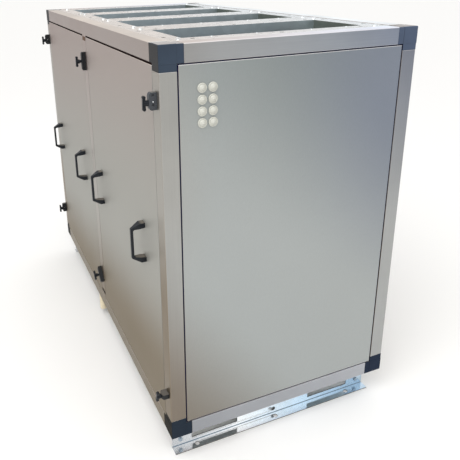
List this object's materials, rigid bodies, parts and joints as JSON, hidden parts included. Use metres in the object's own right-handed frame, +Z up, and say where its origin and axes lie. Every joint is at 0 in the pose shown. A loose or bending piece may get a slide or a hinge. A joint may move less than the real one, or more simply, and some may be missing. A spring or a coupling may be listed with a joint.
{
  "type": "air handling unit",
  "caption": "Floor-standing air handling unit casing with framed sheet panels, lift-off doors with handles and wing-knob clamps, duct openings on top, cable entries and base rails.",
  "frame": {"origin": "centre of the bounding box on the floor plane", "axes": "+Z up, +Y along the casing from the end with the cable entries to the far end, -X out of the door side"},
  "size_m": [0.87, 1.659, 1.344],
  "materials": {
    "profile": "satin",
    "sheet": "satin",
    "inner_sheet": "satin",
    "galvanised": "satin",
    "corner": "satin",
    "black": "satin",
    "cream": "satin"
  },
  "bodies": {
    "casing": {"post_front_left": "profile", "post_front_right": "profile", "post_rear_left": "profile", "post_rear_right": "profile", "mid_post_left": "profile", "mid_post_right": "profile", "top_rail_front": "profile", "top_rail_rear": "profile", "top_rail_left": "profile", "top_rail_right": "profile", "bottom_rail_front": "profile", "bottom_rail_rear": "profile", "bottom_rail_left": "profile", "bottom_rail_right": "profile", "top_corners": "corner", "bottom_corners": "corner", "front_panel": "sheet", "rear_panel": "sheet", "right_panel_front": "sheet", "right_panel_rear": "sheet", "floor_panel": "inner_sheet", "door_front": "sheet", "door_rear": "sheet", "door_front_handles": "black", "door_rear_handles": "black", "cable_glands": "cream", "top_frame_1": "galvanised", "top_frame_2": "galvanised", "top_frame_3": "galvanised", "top_frame_4": "galvanised", "base_rail_front": "galvanised", "base_rail_rear": "galvanised", "drain_stub": "cream"},
    "lower_front_clamp": {"clamp_1": "black"},
    "lower_front_knob": {"knob_1": "black"},
    "lower_middle_clamp": {"clamp_2": "black"},
    "lower_middle_knob": {"knob_2": "black"},
    "lower_rear_clamp": {"clamp_3": "black"},
    "lower_rear_knob": {"knob_3": "black"},
    "upper_front_clamp": {"clamp_4": "black"},
    "upper_front_knob": {"knob_4": "black"},
    "upper_middle_clamp": {"clamp_5": "black"},
    "upper_middle_knob": {"knob_5": "black"},
    "upper_rear_clamp": {"clamp_6": "black"},
    "upper_rear_knob": {"knob_6": "black"}
  },
  "joints": [
    {"name": "lower_front_clamp_swivel", "type": "hinge", "parent": "casing", "child": "lower_front_clamp", "pos_m": [-0.396, -0.7955, 0.268], "axis": [-1, 0, 0], "range_deg": [0, 90]},
    {"name": "lower_front_knob_turn", "type": "hinge", "parent": "lower_front_clamp", "child": "lower_front_knob", "pos_m": [-0.42, -0.7955, 0.268], "axis": [-1, 0, 0], "range_deg": [0, 90]},
    {"name": "lower_middle_clamp_swivel", "type": "hinge", "parent": "casing", "child": "lower_middle_clamp", "pos_m": [-0.396, 0.0045, 0.268], "axis": [-1, 0, 0], "range_deg": [-45, 45]},
    {"name": "lower_middle_knob_turn", "type": "hinge", "parent": "lower_middle_clamp", "child": "lower_middle_knob", "pos_m": [-0.42, 0.0045, 0.268], "axis": [-1, 0, 0], "range_deg": [0, 90]},
    {"name": "lower_rear_clamp_swivel", "type": "hinge", "parent": "casing", "child": "lower_rear_clamp", "pos_m": [-0.396, 0.8045, 0.268], "axis": [-1, 0, 0], "range_deg": [-90, 0]},
    {"name": "lower_rear_knob_turn", "type": "hinge", "parent": "lower_rear_clamp", "child": "lower_rear_knob", "pos_m": [-0.42, 0.8045, 0.268], "axis": [-1, 0, 0], "range_deg": [0, 90]},
    {"name": "upper_front_clamp_swivel", "type": "hinge", "parent": "casing", "child": "upper_front_clamp", "pos_m": [-0.396, -0.7955, 1.196], "axis": [-1, 0, 0], "range_deg": [0, 90]},
    {"name": "upper_front_knob_turn", "type": "hinge", "parent": "upper_front_clamp", "child": "upper_front_knob", "pos_m": [-0.42, -0.7955, 1.196], "axis": [-1, 0, 0], "range_deg": [0, 90]},
    {"name": "upper_middle_clamp_swivel", "type": "hinge", "parent": "casing", "child": "upper_middle_clamp", "pos_m": [-0.396, 0.0045, 1.196], "axis": [-1, 0, 0], "range_deg": [0, 90]},
    {"name": "upper_middle_knob_turn", "type": "hinge", "parent": "upper_middle_clamp", "child": "upper_middle_knob", "pos_m": [-0.42, 0.0045, 1.196], "axis": [-1, 0, 0], "range_deg": [0, 90]},
    {"name": "upper_rear_clamp_swivel", "type": "hinge", "parent": "casing", "child": "upper_rear_clamp", "pos_m": [-0.396, 0.8045, 1.196], "axis": [-1, 0, 0], "range_deg": [-90, 0]},
    {"name": "upper_rear_knob_turn", "type": "hinge", "parent": "upper_rear_clamp", "child": "upper_rear_knob", "pos_m": [-0.42, 0.8045, 1.196], "axis": [-1, 0, 0], "range_deg": [0, 90]}
  ]
}
